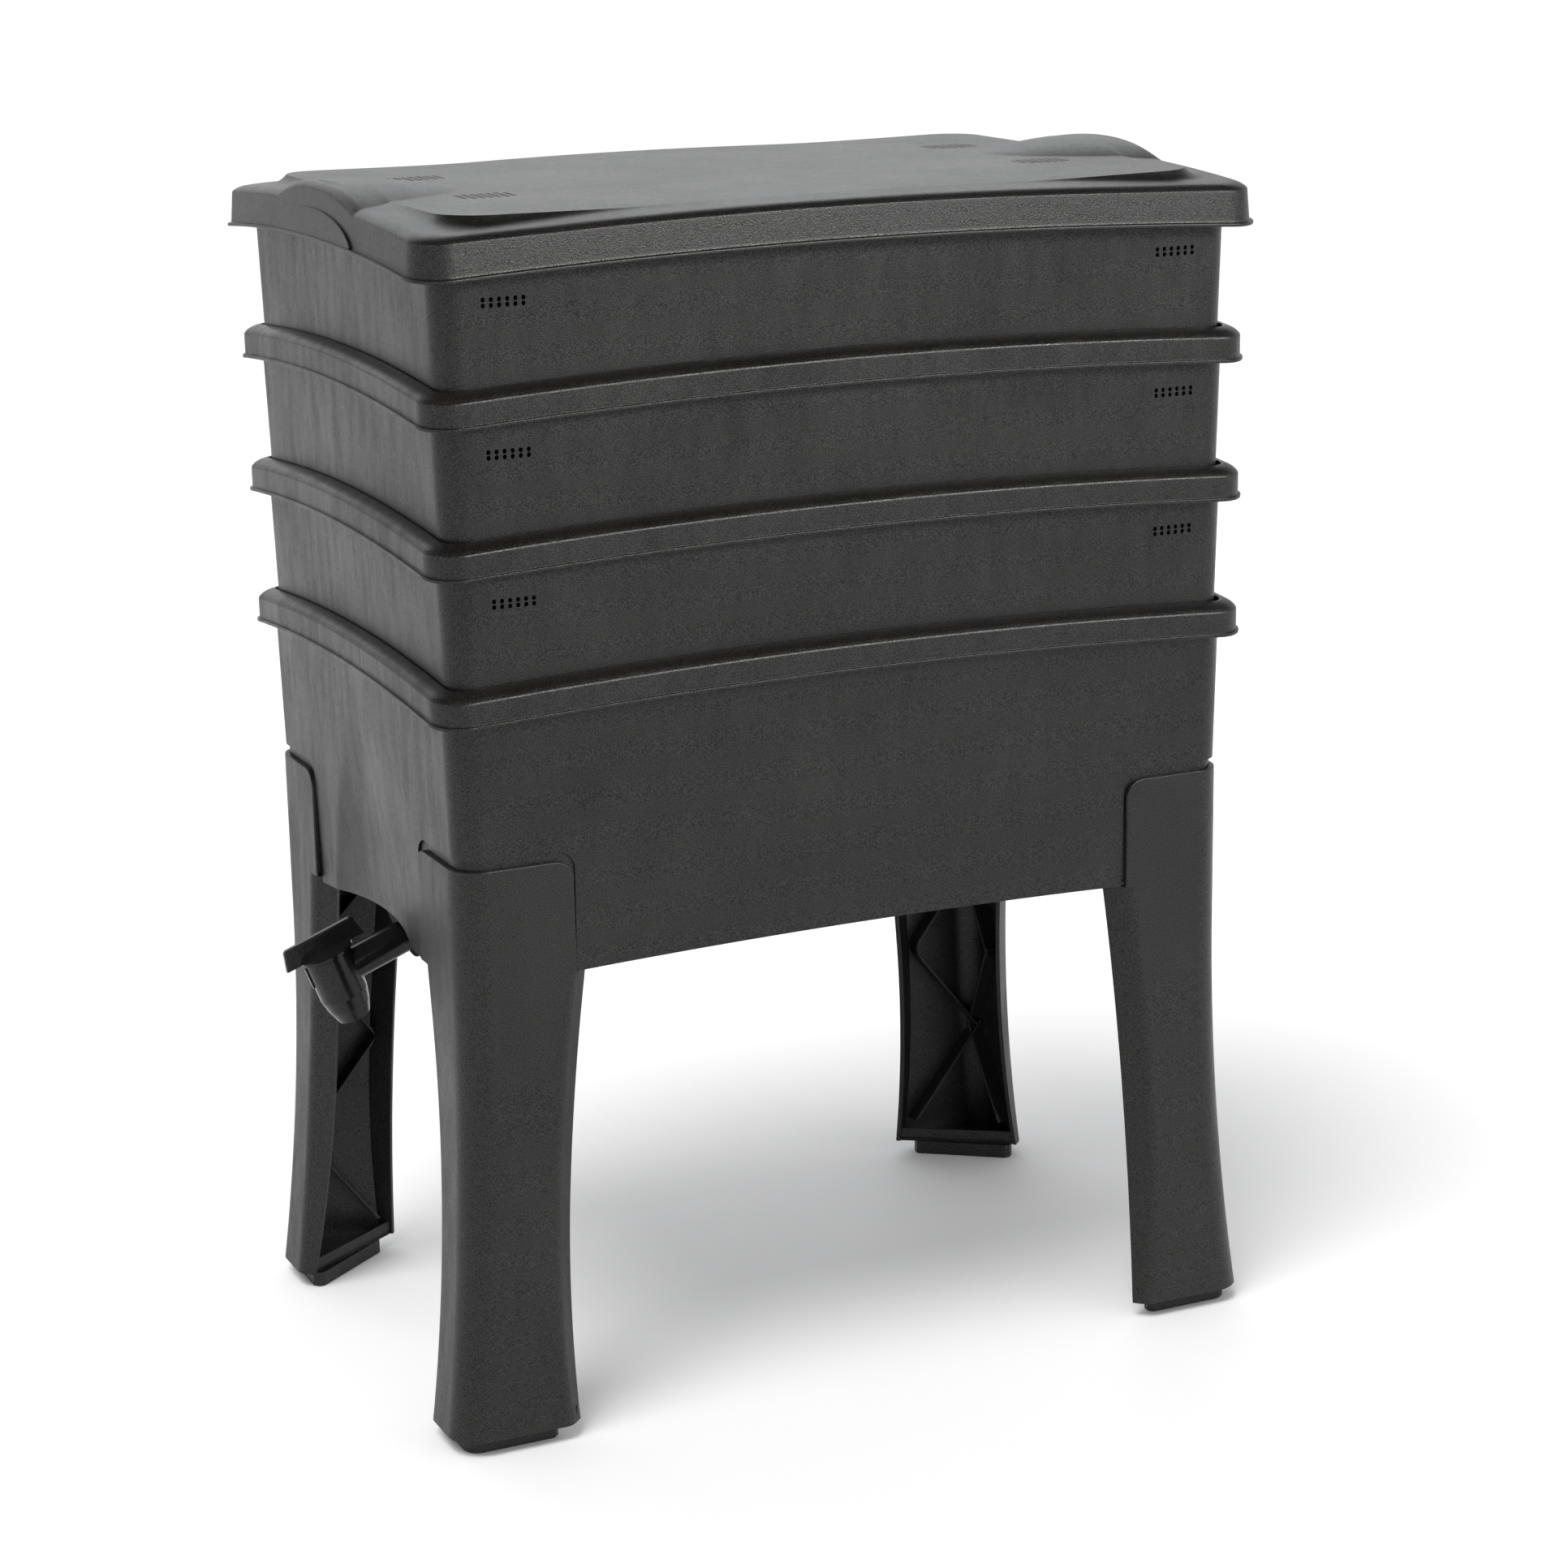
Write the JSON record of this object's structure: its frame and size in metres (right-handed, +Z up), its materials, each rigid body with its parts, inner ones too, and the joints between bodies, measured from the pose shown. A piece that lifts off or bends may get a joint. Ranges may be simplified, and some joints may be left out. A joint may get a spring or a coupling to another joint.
{
  "type": "wormery",
  "caption": "Stacking wormery on splayed legs: vented lid, nesting perforated trays, and a collector base that drains its liquid through a lever tap.",
  "frame": {"origin": "on the floor, at the centre of the whole outline seen from above, tap included; the middle of the four feet is 19.3 mm further along +X", "axes": "+Z up, +X along the long side away from the tap, +Y towards the back"},
  "size_m": [0.5916, 0.3762, 0.7507],
  "materials": {
    "body_plastic": "fine matt moulded texture",
    "tray_plastic": "fine matt moulded texture",
    "lid_plastic": "fine matt moulded texture",
    "leg_plastic": "fine matt moulded texture",
    "foot_plastic": "matt",
    "tap_plastic": "satin",
    "key_plastic": "satin",
    "seal_rubber": "matt"
  },
  "bodies": {
    "base": {"collector_base": "body_plastic", "leg_front_left": "leg_plastic", "leg_front_right": "leg_plastic", "leg_rear_left": "leg_plastic", "leg_rear_right": "leg_plastic", "foot_front_left": "foot_plastic", "foot_front_right": "foot_plastic", "foot_rear_left": "foot_plastic", "foot_rear_right": "foot_plastic", "tap_body": "tap_plastic", "tap_outer_washer": "seal_rubber", "tap_inner_washer": "seal_rubber", "tap_backnut": "tap_plastic"},
    "bottom_tray": {"tray_bottom": "tray_plastic"},
    "middle_tray": {"tray_middle": "tray_plastic"},
    "top_tray": {"tray_top": "tray_plastic"},
    "cover": {"lid": "lid_plastic"},
    "tap_handle": {"tap_key": "key_plastic", "tap_key_o_rings": "seal_rubber"}
  },
  "joints": [
    {"name": "tray_bottom_lift", "type": "slide", "parent": "base", "child": "bottom_tray", "axis": [0, 0, 1], "range_m": [0, 0.15]},
    {"name": "tray_middle_lift", "type": "slide", "parent": "bottom_tray", "child": "middle_tray", "axis": [0, 0, 1], "range_m": [0, 0.15]},
    {"name": "tray_top_lift", "type": "slide", "parent": "middle_tray", "child": "top_tray", "axis": [0, 0, 1], "range_m": [0, 0.15]},
    {"name": "lid_lift", "type": "slide", "parent": "top_tray", "child": "cover", "axis": [0, 0, 1], "range_m": [0, 0.2]},
    {"name": "tap_turn", "type": "hinge", "parent": "base", "child": "tap_handle", "pos_m": [-0.26307, 0, 0.2604], "axis": [-0.3584, 0, 0.9336], "range_deg": [0, 90]}
  ]
}
